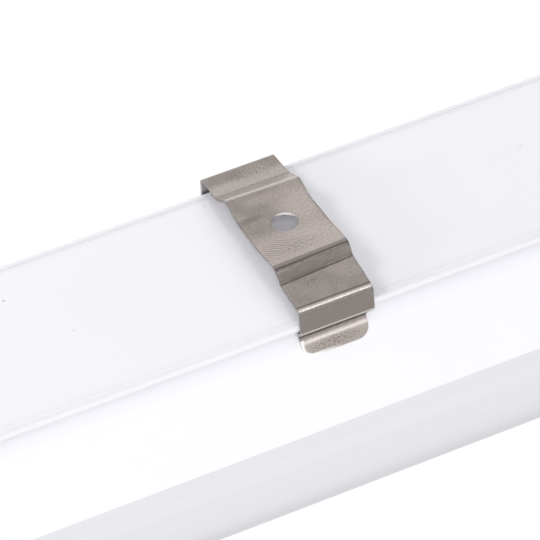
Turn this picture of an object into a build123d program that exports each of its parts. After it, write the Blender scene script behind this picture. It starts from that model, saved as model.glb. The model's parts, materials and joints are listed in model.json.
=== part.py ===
from build123d import *
from math import hypot
import os

# Slim LED batten light with two spring clips, back up, as it hangs under a ceiling.
# X runs along the batten, Y across it, Z up. The origin is midway between the two
# clip holes, on the top face of the clip plates. Millimetres.

os.makedirs("parts", exist_ok=True)

# Shared values
overrun = 1.0
running_gap = 0.15
part_gap = 0.3

# Whole batten
batten_length = 600.0
clip_inset = 100.0

# Housing section: an extruded channel, open below
clip_stand_off = 5.85
lip_half_width = 20.7
lip_bead_width = 1.5
lip_bead_height = 0.3
lip_thickness = 1.7
lip_round = 0.6
groove_depth = 1.7
groove_straight = 1.4
cove_height = 2.6
side_top_inset = 0.1
crease_half_width = 25.0
housing_height = 23.7
housing_wall = 1.4
panel_wall = 1.6
rim_flange_width = 3.4
rim_flange_thickness = 1.2

# Screw ports in the housing: round channels that take the end-cap screws
port_radius = 2.6
port_bore = 1.3
port_slot = 1.1
port_side_inset = 2.3
lower_port_rise = 7.6

# Slots in the housing that carry the gear tray
tray_thickness = 0.8
tray_rail_reach = 3.0
tray_rail_thickness = 1.1
tray_rise = 3.2

# Diffuser section: a milky extruded trough that clicks behind the housing's rim
diffuser_depth = 24.0
diffuser_wall = 1.5
diffuser_corner = 8.0
diffuser_crown = 0.7
diffuser_crown_share = 0.5
diffuser_setback = 0.25
seam_gap = 0.1
foot_wall = 1.2
barb_reach = 0.7
barb_height = 1.2

# End caps, gaskets and their screws
cap_depth = 14.5
cap_overhang = 0.9
cap_wall = 2.0
cap_end_wall = 2.8
cap_edge_round = 1.0
cap_top_round = 2.0
cap_side_round = 9.0
boss_radius = 3.1
gasket_thickness = 1.5
gasket_inset = 0.5
gasket_width = 3.6
screw_shank = 1.25
screw_clearance = 0.35
screw_head_radius = 2.7
screw_head_height = 1.7
screw_head_sink = 0.3
screw_reach = 9.0
drive_recess_radius = 0.9
drive_recess_width = 0.45
drive_recess_depth = 1.0

# Spring clips
clip_width = 15.0
clip_sheet = 0.45
clip_hole = 2.6
clip_crest_rise = 0.6
clip_valley_drop = 1.45
clip_shoulder_drop = 2.25
clip_leg_gap = 0.12
clip_leg_lean = 0.3
clip_crimp_reach = 1.7
clip_crimp_drop = 1.3
clip_knee_flare = 1.1
clip_knee_drop = 1.0
clip_tab_flare = 1.0
clip_tab_length = 3.2
clip_far_crest = 10.0
clip_far_valley = 13.6
clip_near_crest = 11.2
clip_near_valley = 13.1
clip_far_dip = 6.0
clip_near_dip = 4.0
clip_bend = 1.1
clip_soft_bend = 1.6
clip_crimp_bend = 0.6
clip_knee_bend = 1.5
clip_tab_inset = 0.75
clip_tab_shift = 0.5
clip_tab_corner = 2.0

# Lamp board
board_end_gap = 8.0
board_width = 20.0
board_thickness = 1.2
chip_count = 46
chip_length = 3.5
chip_width = 2.8
chip_height = 0.75
board_screw_count = 6
board_screw_offset = 7.0
small_screw_shank = 1.2
small_screw_head = 2.2
small_screw_head_height = 1.2

# Driver
driver_length = 150.0
driver_width = 24.0
driver_height = 14.0
driver_wall = 1.3
driver_corner = 2.0
driver_inner_corner = 1.3
driver_ear_share = 0.5
driver_ear_length = 7.0
driver_ear_thickness = 2.0
driver_lid_thickness = 1.6
driver_lid_lip = 1.4
driver_lid_round = 0.5
driver_standoff = 2.2
circuit_board_thickness = 1.6
transformer_length = 22.0
transformer_width = 17.0
transformer_height = 6.6
transformer_corner = 1.2
transformer_step = 1.1
transformer_limb_share = 0.33
capacitor_radius = 3.3
capacitor_length = 15.0
capacitor_place_shares = (-0.42, 0.28)
choke_radius = 6.5
choke_bore = 2.4
choke_height = 5.6
choke_chamfer = 1.1
choke_place_share = -0.2
transistor_thickness = 1.6
transistor_width = 6.4
transistor_height = 6.2
transistor_offset = 5.5
transistor_place_shares = (0.13, 0.18)

# Terminal block with push buttons
terminal_length = 20.0
terminal_pitch = 7.5
pole_count = 3
terminal_height = 12.0
terminal_gap_to_driver = 38.0
terminal_end_gap = 33.0
terminal_end_wall = 1.0
terminal_skin = 1.6
wire_port_radius = 1.9
wire_port_rise = 4.6
button_length = 5.0
button_width = 4.2
button_rest = 0.4
button_travel = 1.2
button_inset = 5.0
button_flange_width = 0.5
button_flange_height = 1.0
clamp_thickness = 0.5
clamp_width = 3.6
clamp_length = 5.2
clamp_height = 2.4
clamp_tip_share = 0.25

# Wires inside the gear room
wire_radius = 1.1
lamp_wire_radius = 0.8
wire_fit = 0.05
wire_rise = 3.2
wire_insert = 3.0
wire_run = 6.0
earth_wire_run = 3.0
bend_share = 5.0
lamp_wire_spread = 2.2
lamp_wire_reach = 24.0

# Connector on the lamp board, reached through a window in the tray
connector_length = 8.0
connector_width = 9.0
connector_height = 4.2
connector_corner = 0.5
connector_chamfer = 0.4
connector_window_gap = 0.6

# Earth point on the tray
earth_tag_radius = 3.6
earth_tag_thickness = 0.8
earth_barrel_length = 5.0
earth_barrel_radius = 1.7
earth_wire_insert = 1.6
earth_edge_gap = 10.0

# Cable gland and blanking plug in the end caps
entry_radius = 8.1
entry_drop = 17.0
gland_thread = 8.0
gland_bore = 5.0
gland_flange_flats = 20.0
gland_flange_length = 4.5
gland_sleeve_length = 11.5
gland_thread_end = 1.2
gland_fit = 0.08
gland_flange_chamfer = 0.6
gland_seal_fit = 0.05
gland_nut_radius = 9.8
gland_nut_wall = 1.6
gland_nut_gap = 0.5
gland_nut_round = 3.2
gland_mouth = 4.4
gland_flute_depth = 0.7
gland_flute_radius = 1.6
gland_flute_length = 9.0
gland_flute_count = 12
gland_seal_wall = 2.4
gland_seal_length = 7.0
gland_seal_bore = 3.5
locknut_flats = 20.0
locknut_length = 4.0
plug_head_length = 5.0
plug_head_radius = 10.0
plug_head_round = 1.6
plug_slot_width = 2.0
plug_slot_depth = 1.6
washer_thickness = 1.2
washer_radius = 10.0

# Heights and widths that several pieces follow
clip_spacing = batten_length - 2 * clip_inset
lip_top = -clip_stand_off
panel_top = lip_top - lip_bead_height
panel_under = panel_top - panel_wall
lip_under = lip_top - lip_thickness
groove_half_width = lip_half_width - groove_depth
cove_top = lip_under - groove_straight
side_top = cove_top - cove_height
side_top_half_width = lip_half_width - side_top_inset
crease_height = lip_top - housing_height
section_length = batten_length - 2 * (cap_depth + gasket_thickness)
side_slope = (crease_half_width - side_top_half_width) / (side_top - crease_height)
wall_across = housing_wall * hypot(1, side_slope)
tray_under = crease_height + rim_flange_thickness + tray_rise
tray_top = tray_under + tray_thickness
board_under = tray_under - board_thickness
ear_top = tray_top + driver_ear_thickness
tag_top = tray_top + earth_tag_thickness
diffuser_top = crease_height - seam_gap
diffuser_bottom = diffuser_top - diffuser_depth
entry_height = panel_top - entry_drop
section_end = section_length / 2
cap_mouth = section_end + gasket_thickness
cap_floor = cap_mouth + cap_depth - cap_end_wall
cap_face = cap_mouth + cap_depth


def inner_half_width(height):
    """Half the room between the housing's flared walls at a height."""
    outer = side_top_half_width + side_slope * (side_top - height)
    return outer - wall_across


lower_port_height = crease_height + lower_port_rise + port_radius
port_places = []
for side in (-1, 1):
    upper_port_offset = groove_half_width - housing_wall - port_side_inset
    lower_port_offset = inner_half_width(lower_port_height) - port_bore
    port_places.append((side * upper_port_offset, panel_under - port_bore))
    port_places.append((side * lower_port_offset, lower_port_height))

# Places of the gear on the tray, counted from the right end
terminal_start = section_end - terminal_end_gap - terminal_length
driver_end = terminal_start - terminal_gap_to_driver
driver_start = driver_end - driver_length
driver_centre_x = (driver_start + driver_end) / 2
board_length = section_length - 2 * board_end_gap
tray_half_width = inner_half_width(tray_top) - part_gap
driver_lid_under = tray_top + driver_height - driver_lid_thickness
driver_board_under = tray_top + driver_wall + driver_standoff
driver_board_top = driver_board_under + circuit_board_thickness
driver_screw_reach = driver_length / 2 + driver_ear_length / 2
driver_screw_places = [
    (driver_centre_x - driver_screw_reach, 0),
    (driver_centre_x + driver_screw_reach, 0),
]
post_reach_x = driver_length / 2 - 2 * driver_wall - driver_standoff
post_reach_y = driver_width / 2 - 2 * driver_wall - driver_standoff
post_places = [
    (driver_centre_x + i * post_reach_x, j * post_reach_y)
    for i in (-1, 1)
    for j in (-1, 1)
]
transistor_places = [
    (driver_centre_x + share * driver_length, transistor_offset)
    for share in transistor_place_shares
]
board_screw_pitch = board_length / board_screw_count
board_screw_places = [
    (board_screw_pitch * (i - (board_screw_count - 1) / 2), board_screw_offset)
    for i in range(board_screw_count)
]
chip_pitch = board_length / chip_count
connector_x = driver_start - lamp_wire_reach - connector_length / 2

# Places of the terminal block and its poles
terminal_width = pole_count * terminal_pitch + 2 * terminal_end_wall
terminal_x = terminal_start + terminal_length / 2
terminal_top = tray_top + terminal_height
terminal_floor = tray_top + wire_port_rise - wire_port_radius
terminal_skin_under = terminal_top - terminal_skin
button_x = terminal_start + button_inset + button_length / 2
button_proud = button_travel + button_rest
button_foot = terminal_skin_under - running_gap / 2 - button_flange_height
pole_places = [
    (button_x, (i - (pole_count - 1) / 2) * terminal_pitch)
    for i in range(pole_count)
]

# Earth point between the driver and the terminal block
earth_x = driver_end + driver_ear_length + earth_tag_radius
earth_y = tray_half_width - earth_edge_gap
earth_place = (earth_x, earth_y)
earth_barrel_end = earth_x + 2 * earth_tag_radius + earth_barrel_length

# Routes of the wires: a straight run at either end and a slanting run between them
wire_level = tray_top + wire_port_rise
driver_wire_level = wire_level + wire_rise
driver_wire_offset = terminal_pitch / 2
earth_level = tray_top + earth_barrel_radius
lamp_wire_level = driver_board_top + 2 * lamp_wire_radius
connector_wire_level = tray_under + connector_height / 2


def wire_route(start, end, run, insert_end):
    """Points from the right-hand opening to the left-hand one."""
    return [
        (start[0] + wire_insert, start[1], start[2]),
        (start[0] - run, start[1], start[2]),
        (end[0] + run, end[1], end[2]),
        (end[0] - insert_end, end[1], end[2]),
    ]


live_route = wire_route(
    (terminal_start, -terminal_pitch, wire_level),
    (driver_end, -driver_wire_offset, driver_wire_level),
    wire_run,
    wire_insert,
)
neutral_route = wire_route(
    (terminal_start, 0, wire_level),
    (driver_end, driver_wire_offset, driver_wire_level),
    wire_run,
    wire_insert,
)
earth_route = wire_route(
    (terminal_start, terminal_pitch, wire_level),
    (earth_barrel_end, earth_y, earth_level),
    earth_wire_run,
    earth_wire_insert,
)
lamp_routes = [
    wire_route(
        (driver_start, side * lamp_wire_spread, lamp_wire_level),
        (connector_x + connector_length / 2, side * lamp_wire_spread, connector_wire_level),
        wire_run,
        wire_insert,
    )
    for side in (-1, 1)
]

# Places along the gland
gland_seal_outer = gland_seal_bore + gland_seal_wall
gland_nut_length = gland_sleeve_length - gland_nut_gap + part_gap + gland_nut_wall
gland_seal_start = cap_face + gland_flange_length + gland_sleeve_length - gland_seal_length


# Housing: panel, lips, grooves, coves, flared sides and the rim that holds the diffuser
def make_housing():
    lip_inner = lip_half_width - lip_bead_width
    flange_inner = crease_half_width - wall_across - rim_flange_width
    flange_top = crease_height + rim_flange_thickness
    cove_inner = groove_half_width - housing_wall
    points = [
        (0, panel_top),
        (lip_inner - lip_bead_height, panel_top),
        (lip_inner, lip_top),
        (lip_half_width, lip_top),
        (lip_half_width, lip_under),
        (groove_half_width, lip_under),
        (groove_half_width, cove_top),
        (side_top_half_width, side_top),
        (crease_half_width, crease_height),
        (flange_inner, crease_height),
        (flange_inner, flange_top),
        (inner_half_width(flange_top), flange_top),
        (inner_half_width(side_top), side_top),
        (cove_inner, cove_top - housing_wall),
        (cove_inner, panel_under),
        (0, panel_under),
    ]
    bead = lip_bead_height
    wall = housing_wall
    radii = [bead, bead, lip_round, lip_round, bead, wall, wall, 0, 0, 0, 0, wall, bead, bead]
    with BuildPart() as housing:
        with BuildSketch(Plane.YZ) as section:
            with BuildLine():
                FilletPolyline(*points, radius=radii)
                mirror(about=Plane.YZ)
            make_face()
            rail_base = inner_half_width(tray_top) + wall_across / 2
            rail_width = tray_rail_reach + wall_across / 2
            rail_middle = rail_base - rail_width / 2
            slot_height = tray_thickness + 2 * running_gap
            rail_offset = (slot_height + tray_rail_thickness) / 2
            tray_middle = tray_under + tray_thickness / 2
            rails = [
                (side * rail_middle, tray_middle + level * rail_offset)
                for side in (-1, 1)
                for level in (-1, 1)
            ]
            with Locations(*rails):
                Rectangle(rail_width, tray_rail_thickness)
            with Locations(*port_places):
                Circle(port_radius)
            with Locations(*port_places):
                Circle(port_bore, mode=Mode.SUBTRACT)
            slots = [(y - (port_radius if y > 0 else -port_radius) / 2, z) for y, z in port_places]
            with Locations(*slots):
                Rectangle(port_radius, port_slot, mode=Mode.SUBTRACT)
        extrude(amount=section_end, both=True)
    return housing


# Diffuser: rounded trough whose two feet click behind the housing's rim
def make_diffuser():
    outer = crease_half_width - diffuser_setback
    inner = outer - diffuser_wall
    flange_inner = crease_half_width - wall_across - rim_flange_width
    flange_top = crease_height + rim_flange_thickness
    foot_outer = flange_inner - running_gap
    foot_inner = foot_outer - foot_wall
    barb_base = flange_top + running_gap
    barb_top = barb_base + barb_height
    web_under = diffuser_top - diffuser_wall
    trough = [
        (outer, diffuser_top),
        (outer, diffuser_bottom + diffuser_crown),
        (0, diffuser_bottom),
        (-outer, diffuser_bottom + diffuser_crown),
        (-outer, diffuser_top),
    ]
    room = [
        (inner, diffuser_top + overrun),
        (inner, diffuser_bottom + diffuser_crown + diffuser_wall),
        (0, diffuser_bottom + diffuser_wall),
        (-inner, diffuser_bottom + diffuser_crown + diffuser_wall),
        (-inner, diffuser_top + overrun),
    ]
    inner_corner = diffuser_corner - diffuser_wall
    crown_radius = diffuser_crown_share * outer**2 / diffuser_crown
    foot = [
        (foot_inner, web_under),
        (inner + diffuser_wall / 2, web_under),
        (inner + diffuser_wall / 2, diffuser_top),
        (foot_outer, diffuser_top),
        (foot_outer, barb_base),
        (flange_inner + barb_reach, barb_base),
        (foot_outer, barb_top),
        (foot_inner, barb_top),
        (foot_inner, web_under),
    ]
    with BuildPart() as diffuser:
        with BuildSketch(Plane.YZ) as section:
            with BuildLine():
                FilletPolyline(*trough, radius=[diffuser_corner, crown_radius, diffuser_corner])
                Line(trough[-1], trough[0])
            make_face()
            with BuildSketch(mode=Mode.SUBTRACT):
                with BuildLine():
                    FilletPolyline(*room, radius=[inner_corner, crown_radius, inner_corner])
                    Line(room[-1], room[0])
                make_face()
            with BuildSketch(mode=Mode.ADD):
                with BuildLine():
                    Polyline(*foot)
                make_face()
                mirror(about=Plane.YZ)
        extrude(amount=section_end, both=True)
    return diffuser


# The outline that end caps and gaskets share, grown or shrunk by an amount
def end_outline(growth):
    with BuildSketch() as outline:
        with BuildLine():
            FilletPolyline(
                (0, lip_top),
                (lip_half_width, lip_top),
                (crease_half_width, crease_height),
                (crease_half_width, diffuser_bottom),
                (0, diffuser_bottom),
                radius=[cap_top_round, cap_side_round, diffuser_corner],
            )
            mirror(about=Plane.YZ)
        make_face()
        offset(amount=growth)
    return outline.sketch


# End cap: hollow moulding with four screw bosses and a cable entry in its end wall
def make_end_cap(side):
    with BuildPart() as cap:
        with BuildSketch(Plane.YZ.offset(side * cap_mouth)) as block:
            add(end_outline(cap_overhang))
        extrude(amount=side * cap_depth)
        end_face = cap.faces().sort_by(Axis.X)[-1 if side > 0 else 0]
        fillet(end_face.edges(), radius=cap_edge_round)
        with BuildSketch(Plane.YZ.offset(side * cap_mouth)) as room:
            add(end_outline(cap_overhang - cap_wall))
        extrude(amount=side * (cap_depth - cap_end_wall), mode=Mode.SUBTRACT)
        with BuildSketch(Plane.YZ.offset(side * cap_mouth)) as bosses:
            with Locations(*port_places):
                Circle(boss_radius)
        extrude(amount=side * (cap_depth - cap_end_wall / 2))
        with BuildSketch(Plane.YZ.offset(side * (cap_mouth - overrun))) as screw_holes:
            with Locations(*port_places):
                Circle(screw_shank + screw_clearance)
        extrude(amount=side * (cap_depth + 2 * overrun), mode=Mode.SUBTRACT)
        with BuildSketch(Plane.YZ.offset(side * (cap_face + overrun))) as head_pockets:
            with Locations(*port_places):
                Circle(screw_head_radius + screw_clearance)
        pocket_depth = overrun + screw_head_height + screw_head_sink
        extrude(amount=-side * pocket_depth, mode=Mode.SUBTRACT)
        with BuildSketch(Plane.YZ.offset(side * (cap_face + overrun))) as entry:
            with Locations((0, entry_height)):
                Circle(entry_radius)
        extrude(amount=-side * (cap_end_wall + 2 * overrun), mode=Mode.SUBTRACT)
    return cap


# Gasket: soft ring between a cap and the section's end, with pads round the screws
def make_end_gasket(side):
    with BuildPart() as gasket:
        with BuildSketch(Plane.YZ.offset(side * section_end)) as ring:
            add(end_outline(-gasket_inset))
            add(end_outline(-gasket_inset - gasket_width), mode=Mode.SUBTRACT)
            with Locations(*port_places):
                Circle(boss_radius)
            with Locations(*port_places):
                Circle(screw_shank + screw_clearance, mode=Mode.SUBTRACT)
        extrude(amount=side * gasket_thickness)
    return gasket


# Eight pan-head screws that hold the end caps
def make_end_cap_screws():
    with BuildPart() as screws:
        for side in (-1, 1):
            head_seat = cap_face - screw_head_sink - screw_head_height
            with BuildSketch(Plane.YZ.offset(side * (section_end - screw_reach))) as shanks:
                with Locations(*port_places):
                    Circle(screw_shank)
            extrude(amount=side * (head_seat - section_end + screw_reach))
            with BuildSketch(Plane.YZ.offset(side * head_seat)) as heads:
                with Locations(*port_places):
                    Circle(screw_head_radius)
            extrude(amount=side * screw_head_height)
            with BuildSketch(Plane.YZ.offset(side * (head_seat + screw_head_height))) as recesses:
                with Locations(*port_places):
                    Rectangle(2 * drive_recess_radius, drive_recess_width)
                    Rectangle(drive_recess_width, 2 * drive_recess_radius)
            extrude(amount=-side * drive_recess_depth, mode=Mode.SUBTRACT)
    return screws


# Spring clip: one strip of stainless sheet, bent across the batten
def make_clip(centre_x):
    leg_outer = lip_half_width + clip_leg_gap + clip_sheet
    leg_foot = leg_outer + clip_leg_lean
    leg_bottom = lip_under - clip_sheet / 2
    crimp_outer = leg_foot - clip_crimp_reach
    crimp_middle = leg_bottom - clip_crimp_drop
    knee_outer = crimp_outer + clip_knee_flare
    knee_middle = crimp_middle - clip_knee_drop
    tab_outer = knee_outer + clip_tab_flare
    tab_end = knee_middle - clip_tab_length
    surface = [
        (tab_outer, tab_end),
        (knee_outer, knee_middle),
        (crimp_outer, crimp_middle),
        (leg_foot, leg_bottom),
        (leg_outer, -clip_shoulder_drop),
        (clip_far_valley, -clip_valley_drop),
        (clip_far_crest, clip_crest_rise),
        (clip_far_dip, 0),
        (-clip_near_dip, 0),
        (-clip_near_crest, clip_crest_rise),
        (-clip_near_valley, -clip_valley_drop),
        (-leg_outer, -clip_shoulder_drop),
        (-leg_foot, leg_bottom),
        (-crimp_outer, crimp_middle),
        (-knee_outer, knee_middle),
        (-tab_outer, tab_end),
    ]
    end_radii = [clip_knee_bend, clip_crimp_bend, clip_crimp_bend + clip_sheet, clip_bend]
    radii = end_radii + [clip_soft_bend] * 6 + end_radii[::-1]
    with BuildPart() as clip:
        with BuildSketch(Plane.YZ.offset(centre_x)) as strip:
            with BuildLine() as bends:
                FilletPolyline(*surface, radius=radii)
                offset(amount=clip_sheet, side=Side.LEFT, closed=True)
            make_face()
        extrude(amount=clip_width / 2, both=True)
        with Locations((centre_x, 0, overrun)):
            Hole(clip_hole, depth=clip_sheet + 2 * overrun)
        with BuildSketch(Plane.XY.offset(crimp_middle)) as notches:
            for side in (-1, 1):
                notch_width = clip_tab_inset + side * clip_tab_shift + overrun
                notch_edge = side * (clip_width / 2 + overrun)
                with Locations((centre_x + notch_edge - side * notch_width / 2, 0)):
                    Rectangle(notch_width, 2 * (tab_outer + overrun))
        extrude(amount=tab_end - crimp_middle - overrun, mode=Mode.SUBTRACT)
        tab_ends = clip.faces().sort_by(Axis.Z)[:2]
        fillet(tab_ends.edges().filter_by(Axis.X, reverse=True), radius=clip_tab_corner)
    return clip


# Gear tray: white sheet that slides into the housing's rails, with a window for the connector
def make_gear_tray():
    with BuildPart() as tray:
        with BuildSketch(Plane.XY.offset(tray_under)) as plate:
            Rectangle(2 * (section_end - part_gap), 2 * tray_half_width)
            with Locations((connector_x, 0)):
                window = 2 * connector_window_gap
                Rectangle(connector_length + window, connector_width + window, mode=Mode.SUBTRACT)
            with Locations(*board_screw_places, *driver_screw_places, earth_place):
                Circle(small_screw_shank + running_gap, mode=Mode.SUBTRACT)
        extrude(amount=tray_thickness)
    return tray


# Lamp board, its chips and the screws that clamp it under the tray
def make_led_board():
    with BuildPart() as board:
        with BuildSketch(Plane.XY.offset(tray_under)) as plate:
            Rectangle(board_length, board_width)
            with Locations(*board_screw_places):
                Circle(small_screw_shank + running_gap, mode=Mode.SUBTRACT)
        extrude(amount=-board_thickness)
    return board


def make_led_chips():
    with BuildPart() as chips:
        with BuildSketch(Plane.XY.offset(board_under)) as lamps:
            with GridLocations(chip_pitch, 0, chip_count, 1):
                Rectangle(chip_length, chip_width)
        extrude(amount=-chip_height)
    return chips


# Small screws: head against the carried piece, shank through the sheet
def make_small_screws(places, seat, direction, through):
    with BuildPart() as screws:
        with BuildSketch(Plane.XY.offset(seat)) as heads:
            with Locations(*places):
                Circle(small_screw_head)
        extrude(amount=direction * small_screw_head_height)
        with BuildSketch(Plane.XY.offset(seat)) as shanks:
            with Locations(*places):
                Circle(small_screw_shank)
        extrude(amount=-direction * through)
        with BuildSketch(Plane.XY.offset(seat + direction * small_screw_head_height)) as recesses:
            with Locations(*places):
                Rectangle(2 * drive_recess_radius, drive_recess_width)
                Rectangle(drive_recess_width, 2 * drive_recess_radius)
        extrude(amount=-direction * small_screw_head_height / 2, mode=Mode.SUBTRACT)
    return screws


# Connector on the back of the lamp board, with two wire entries towards the driver
def make_board_connector():
    with BuildPart() as connector:
        with BuildSketch(Plane.XY.offset(tray_under)) as block:
            with Locations((connector_x, 0)):
                Rectangle(connector_length, connector_width)
        extrude(amount=connector_height)
        fillet(connector.edges().filter_by(Axis.Z), radius=connector_corner)
        chamfer(connector.faces().sort_by(Axis.Z)[-1].edges(), length=connector_chamfer)
        with BuildSketch(Plane.YZ.offset(connector_x + connector_length / 2)) as entries:
            with Locations((0, connector_wire_level)):
                with GridLocations(2 * lamp_wire_spread, 0, 2, 1):
                    Circle(lamp_wire_radius + wire_fit)
        extrude(amount=-wire_insert, mode=Mode.SUBTRACT)
    return connector


# Driver: moulded case with two screw ears, lid, circuit board and its large parts
def make_driver_case():
    with BuildPart() as case:
        with BuildSketch(Plane.XY.offset(tray_top)) as foot:
            with Locations((driver_centre_x, 0)):
                foot_length = driver_length + 2 * driver_ear_length
                RectangleRounded(foot_length, driver_ear_share * driver_width, driver_corner)
        extrude(amount=driver_ear_thickness)
        with BuildSketch(Plane.XY.offset(tray_top)) as block:
            with Locations((driver_centre_x, 0)):
                RectangleRounded(driver_length, driver_width, driver_corner)
        extrude(amount=driver_height - driver_lid_thickness)
        with BuildSketch(Plane.XY.offset(tray_top + driver_wall)) as room:
            with Locations((driver_centre_x, 0)):
                room_length = driver_length - 2 * driver_wall
                room_width = driver_width - 2 * driver_wall
                RectangleRounded(room_length, room_width, driver_inner_corner)
        extrude(amount=driver_height, mode=Mode.SUBTRACT)
        with BuildSketch(Plane.XY.offset(tray_top + driver_wall / 2)) as posts:
            with Locations(*post_places):
                Circle(driver_standoff)
        extrude(amount=driver_standoff + driver_wall / 2)
        with BuildSketch(Plane.XY.offset(tray_top - overrun)) as holes:
            with Locations(*driver_screw_places):
                Circle(small_screw_shank + running_gap)
        extrude(amount=driver_ear_thickness + 2 * overrun, mode=Mode.SUBTRACT)
        with BuildSketch(Plane.YZ.offset(driver_end + overrun)) as mains_entries:
            with Locations((0, driver_wire_level)):
                with GridLocations(2 * driver_wire_offset, 0, 2, 1):
                    Circle(wire_radius + wire_fit)
        extrude(amount=-(driver_wall + 2 * overrun), mode=Mode.SUBTRACT)
        with BuildSketch(Plane.YZ.offset(driver_start - overrun)) as lamp_entries:
            with Locations((0, lamp_wire_level)):
                with GridLocations(2 * lamp_wire_spread, 0, 2, 1):
                    Circle(lamp_wire_radius + wire_fit)
        extrude(amount=driver_wall + 2 * overrun, mode=Mode.SUBTRACT)
    return case


def make_driver_lid():
    with BuildPart() as lid:
        with BuildSketch(Plane.XY.offset(driver_lid_under)) as plate:
            with Locations((driver_centre_x, 0)):
                RectangleRounded(driver_length, driver_width, driver_corner)
        extrude(amount=driver_lid_thickness)
        fillet(lid.faces().sort_by(Axis.Z)[-1].edges(), radius=driver_lid_round)
        with BuildSketch(Plane.XY.offset(driver_lid_under)) as skirt:
            with Locations((driver_centre_x, 0)):
                skirt_length = driver_length - 2 * (driver_wall + running_gap)
                skirt_width = driver_width - 2 * (driver_wall + running_gap)
                RectangleRounded(skirt_length, skirt_width, driver_inner_corner)
                inner_length = skirt_length - 2 * driver_wall
                inner_width = skirt_width - 2 * driver_wall
                Rectangle(inner_length, inner_width, mode=Mode.SUBTRACT)
        extrude(amount=-driver_lid_lip)
    return lid


def make_driver_board():
    with BuildPart() as board:
        with BuildSketch(Plane.XY.offset(driver_board_under)) as plate:
            with Locations((driver_centre_x, 0)):
                margin = 2 * (driver_wall + part_gap)
                RectangleRounded(driver_length - margin, driver_width - margin, driver_inner_corner)
        extrude(amount=circuit_board_thickness)
    return board


def make_driver_transformer():
    with BuildPart() as transformer:
        with BuildSketch(Plane.XY.offset(driver_board_top)) as core:
            with Locations((driver_centre_x, 0)):
                RectangleRounded(transformer_length, transformer_width, transformer_corner)
        extrude(amount=transformer_height)
        with BuildSketch(Plane.XY.offset(driver_board_top + transformer_height)) as limbs:
            with Locations((driver_centre_x, 0)):
                Rectangle(transformer_limb_share * transformer_length, transformer_width + overrun)
        extrude(amount=-transformer_step, mode=Mode.SUBTRACT)
    return transformer


def make_driver_capacitors():
    with BuildPart() as capacitors:
        for share in capacitor_place_shares:
            start = driver_centre_x + share * driver_length
            with BuildSketch(Plane.YZ.offset(start)) as can:
                with Locations((0, driver_board_top + capacitor_radius)):
                    Circle(capacitor_radius)
            extrude(amount=capacitor_length)
    return capacitors


def make_driver_choke():
    with BuildPart() as choke:
        with BuildSketch(Plane.XY.offset(driver_board_top)) as ring:
            with Locations((driver_centre_x + choke_place_share * driver_length, 0)):
                Circle(choke_radius)
                Circle(choke_bore, mode=Mode.SUBTRACT)
        extrude(amount=choke_height)
        chamfer(choke.edges().filter_by(GeomType.CIRCLE), length=choke_chamfer)
    return choke


def make_driver_transistors():
    with BuildPart() as transistors:
        with BuildSketch(Plane.XY.offset(driver_board_top)) as packages:
            with Locations(*transistor_places):
                Rectangle(transistor_thickness, transistor_width)
        extrude(amount=transistor_height)
    return transistors


# Terminal block: three poles with a wire port, a spring clamp and a release button each
def make_terminal_block():
    with BuildPart() as block:
        with BuildSketch(Plane.XY.offset(tray_top)) as base:
            with Locations((terminal_x, 0)):
                Rectangle(terminal_length, terminal_width)
        extrude(amount=terminal_height)
        chamfer(block.faces().sort_by(Axis.Z)[-1].edges().filter_by(Axis.Y), length=terminal_end_wall)
        room_length = button_length + 2 * (button_flange_width + running_gap)
        room_width = button_width + 2 * (button_flange_width + running_gap)
        with BuildSketch(Plane.XY.offset(terminal_floor)) as rooms:
            with Locations(*pole_places):
                Rectangle(room_length, room_width)
        extrude(amount=terminal_skin_under - terminal_floor, mode=Mode.SUBTRACT)
        with BuildSketch(Plane.XY.offset(terminal_skin_under)) as mouths:
            with Locations(*pole_places):
                Rectangle(button_length + 2 * running_gap, button_width + 2 * running_gap)
        extrude(amount=terminal_height, mode=Mode.SUBTRACT)
        levels = [(y, wire_level) for x, y in pole_places]
        with BuildSketch(Plane.YZ.offset(terminal_start + terminal_length)) as ports:
            with Locations(*levels):
                Circle(wire_port_radius)
        extrude(amount=button_x - terminal_start - terminal_length, mode=Mode.SUBTRACT)
        with BuildSketch(Plane.YZ.offset(terminal_start)) as driver_side_bores:
            with Locations(*levels):
                Circle(wire_radius + wire_fit)
        extrude(amount=wire_insert, mode=Mode.SUBTRACT)
    return block


def make_button(place):
    with BuildPart() as button:
        with BuildSketch(Plane.XY.offset(button_foot)) as foot:
            with Locations(place):
                flange = 2 * button_flange_width
                Rectangle(button_length + flange, button_width + flange)
        extrude(amount=button_flange_height)
        with BuildSketch(Plane.XY.offset(button_foot)) as stem:
            with Locations(place):
                Rectangle(button_length, button_width)
        extrude(amount=terminal_top + button_proud - button_foot)
        chamfer(button.faces().sort_by(Axis.Z)[-1].edges(), length=button_flange_width)
    return button


def make_terminal_clamps():
    with BuildPart() as clamps:
        for x, y in pole_places:
            leaf = [
                (x + clamp_length / 2, terminal_floor),
                (x - clamp_length / 2, terminal_floor),
                (x - clamp_length / 2, terminal_floor + clamp_height),
                (x + clamp_tip_share * clamp_length, terminal_floor + clamp_height / 2),
            ]
            with BuildSketch(Plane.XZ.offset(-y)) as strip:
                with BuildLine():
                    FilletPolyline(*leaf, radius=2 * clamp_thickness)
                    offset(amount=clamp_thickness, side=Side.RIGHT, closed=True)
                make_face()
            extrude(amount=clamp_width / 2, both=True)
    return clamps


# Wires inside the gear room, each a tube along straight runs and tangent arcs
def make_wires(routes, radius):
    with BuildPart() as wires:
        for route in routes:
            with BuildLine() as path:
                FilletPolyline(*route, radius=2 * radius * bend_share)
            with BuildSketch(Plane(origin=path.line @ 0, z_dir=path.line % 0)):
                Circle(radius)
            sweep(path=path.line)
    return wires


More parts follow.
